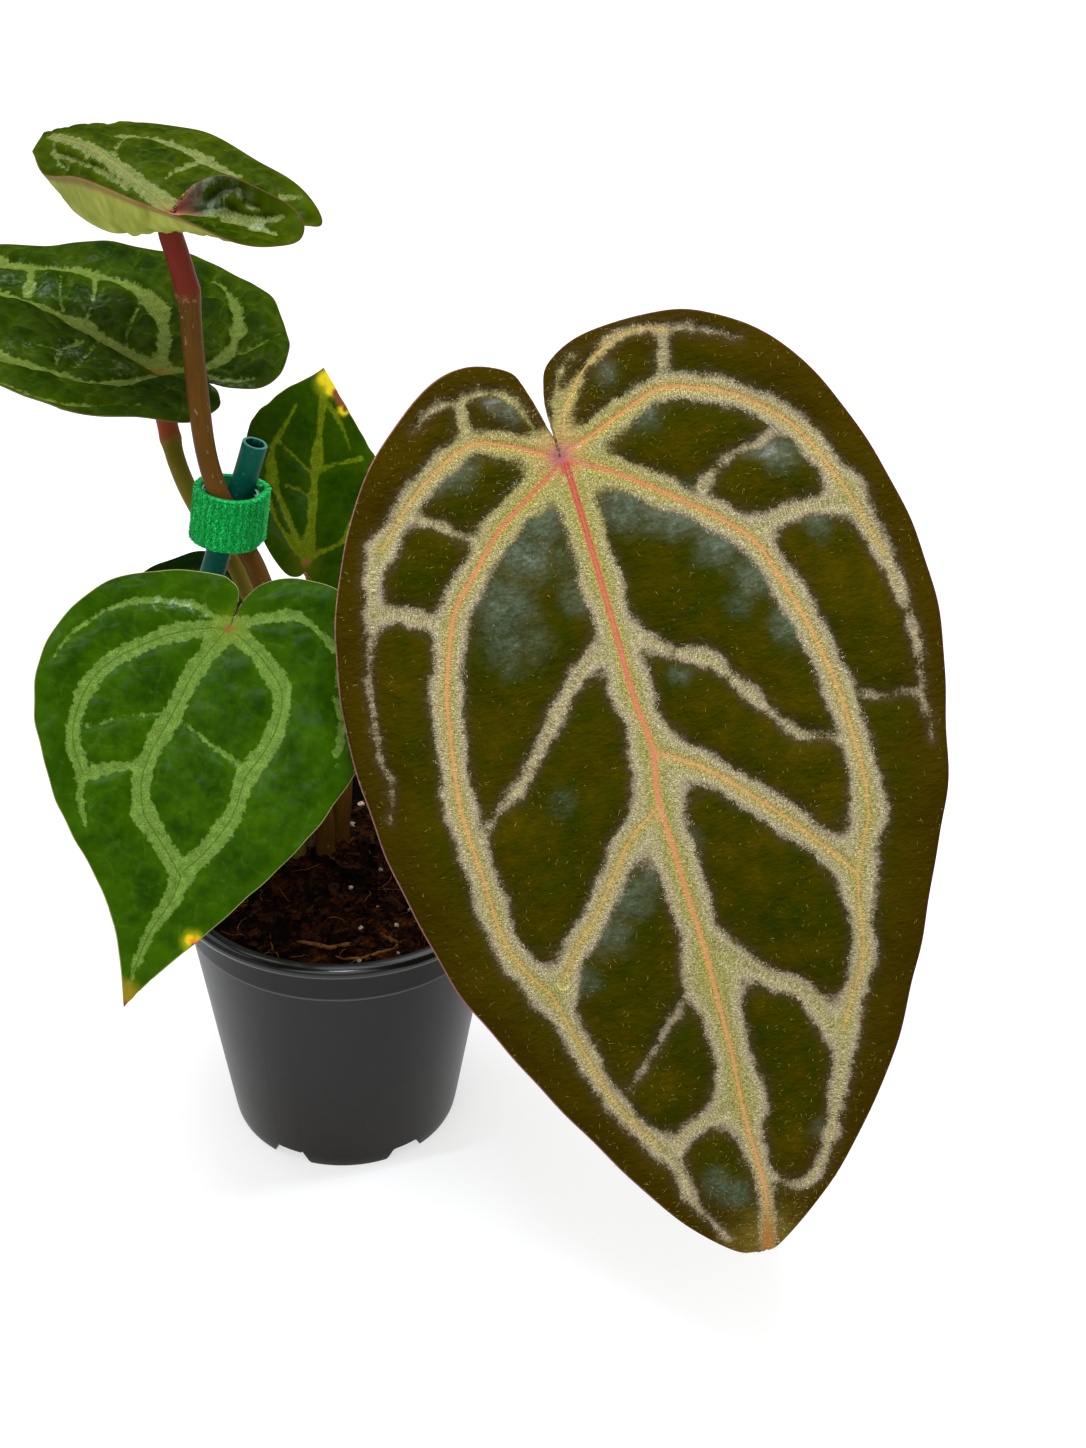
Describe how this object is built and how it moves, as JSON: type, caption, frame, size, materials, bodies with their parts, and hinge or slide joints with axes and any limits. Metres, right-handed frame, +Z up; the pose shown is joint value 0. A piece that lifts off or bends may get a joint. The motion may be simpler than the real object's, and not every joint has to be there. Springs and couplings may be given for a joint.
{
  "type": "potted anthurium hybrid",
  "caption": "Small velvet-leaved anthurium hybrid in a round black nursery pot, its top leaf's stalk held to a hollow green stake by a plant tie.",
  "frame": {"origin": "centre of the flat pad under the pot, on the surface the pot stands on", "axes": "+Z up along the pot's axis; -Y towards the viewer of the picture; the large velvety leaf hangs out to +X and -Y"},
  "size_m": [0.2799, 0.2206, 0.3035],
  "materials": {
    "black_plastic": "satin black moulded plastic, glossier on the rolled rim",
    "potting_mix": "damp dark peat with bark, coir and perlite",
    "stake_plastic": "dark green plastic tube",
    "tie_cloth": "bright green fuzzy hook-and-loop strap",
    "stem": "brown stem with papery sheaths",
    "velvet_blade": "velvety olive black with broad silver-gold veins and a red midrib line",
    "green_blade": "semi-gloss green with paler vein bands",
    "young_blade": "semi-gloss yellow-green with a red-brown margin and a pale underside",
    "dark_blade": "glossy dark green",
    "brown_stalk": "smooth brown stalk, redder at the blade",
    "olive_stalk": "smooth olive stalk, redder at the blade"
  },
  "bodies": {
    "root": {"nursery_pot": "black_plastic", "potting_mix": "potting_mix", "support_stake": "stake_plastic", "plant_tie": "tie_cloth", "stem_base": "stem", "blade_velvet": "velvet_blade", "petiole_velvet": "brown_stalk", "blade_front": "green_blade", "petiole_front": "olive_stalk", "blade_top": "young_blade", "petiole_top": "brown_stalk", "blade_left": "green_blade", "petiole_left": "olive_stalk", "blade_back": "green_blade", "petiole_back": "olive_stalk", "blade_rear": "dark_blade", "petiole_rear": "olive_stalk"}
  },
  "joints": []
}
